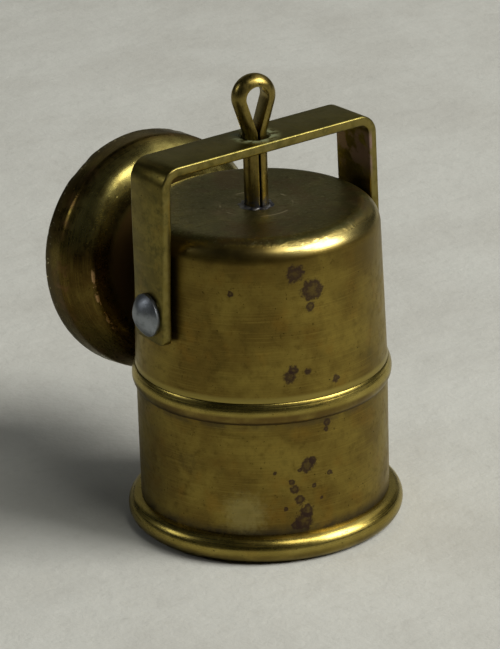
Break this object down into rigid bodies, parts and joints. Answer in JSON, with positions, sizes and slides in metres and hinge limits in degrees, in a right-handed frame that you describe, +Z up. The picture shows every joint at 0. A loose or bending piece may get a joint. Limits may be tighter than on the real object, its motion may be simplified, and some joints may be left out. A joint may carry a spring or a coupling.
{
  "type": "miner's hand lamp",
  "caption": "Small brass carbide-pattern miner's lamp: two-part round canister, flat-strip bail, split-pin eye and a round reflector on one side.",
  "frame": {"origin": "centre of the underside of the base, on the canister's axis", "axes": "+Z up along the canister's axis, -Y towards the side that the reflector faces, X through the bail's two rivets"},
  "size_m": [0.0448, 0.052, 0.0693],
  "materials": {
    "brass_canister": "aged and satin, dark on the top, with small brown spots",
    "brass_moulding": "aged, polished on the high lines",
    "brass_strip": "aged strip, bright rubbed edges",
    "brass_wire": "half-round wire, rubbed bright",
    "brass_spun": "spun sheet, aged, with fine turning marks",
    "brass_fitting": "turned, clean inside the lamp",
    "tinned_brass": "tinned with a little solder",
    "rivet_steel": "dull grey",
    "seal_rubber": "matt black",
    "felt": "pressed wool felt",
    "packing_yarn": "greased yarn",
    "ceramic": "unglazed steatite"
  },
  "bodies": {
    "base": {"base_cup": "brass_canister", "foot_ring": "brass_moulding", "base_bead": "brass_moulding", "base_neck": "brass_fitting"},
    "gasket": {"gasket": "seal_rubber"},
    "cap": {"cap_shell": "brass_canister", "cap_thread_ring": "brass_fitting", "tank_floor": "brass_fitting", "drip_tube": "brass_fitting", "felt_filter": "felt", "filter_plate": "brass_fitting", "filter_nut": "brass_fitting", "gas_tube": "brass_fitting", "reflector_boss": "brass_spun", "reflector_dish": "brass_spun", "burner_holder": "brass_fitting", "reflector_nut": "brass_fitting", "burner_tip": "ceramic", "stem_bush": "tinned_brass", "stem_packing": "packing_yarn", "gland_nut": "brass_fitting", "rivet_right": "rivet_steel", "rivet_left": "rivet_steel", "rivet_washer_right": "brass_fitting", "rivet_washer_left": "brass_fitting"},
    "bail": {"bail": "brass_strip"},
    "valve_needle": {"valve_needle": "brass_fitting"},
    "split_pin": {"split_pin": "brass_wire"}
  },
  "joints": [
    {"name": "gasket_lift", "type": "slide", "parent": "base", "child": "gasket", "axis": [0, 0, 1], "range_m": [0, 0.00439]},
    {"name": "cap_turn", "type": "hinge", "parent": "gasket", "child": "cap", "pos_m": [0, 0, 0.0256], "axis": [0, 0, 1], "range_deg": [0, 630]},
    {"name": "bail_play", "type": "hinge", "parent": "cap", "child": "bail", "pos_m": [0, 0, 0.037], "axis": [1, 0, 0], "range_deg": [-0.7, 0.7]},
    {"name": "needle_lift", "type": "slide", "parent": "cap", "child": "valve_needle", "axis": [0, 0, 1], "range_m": [0, 0.00122]},
    {"name": "eye_turn", "type": "hinge", "parent": "valve_needle", "child": "split_pin", "pos_m": [0, 0, 0.05], "axis": [0, 0, 1], "range_deg": [0, 630]}
  ],
  "couplings": [
    {"joint": "gasket_lift", "follows": "cap_turn", "m_per_rad": 0.00039789},
    {"joint": "eye_turn", "follows": "needle_lift", "rad_per_m": 8976}
  ]
}
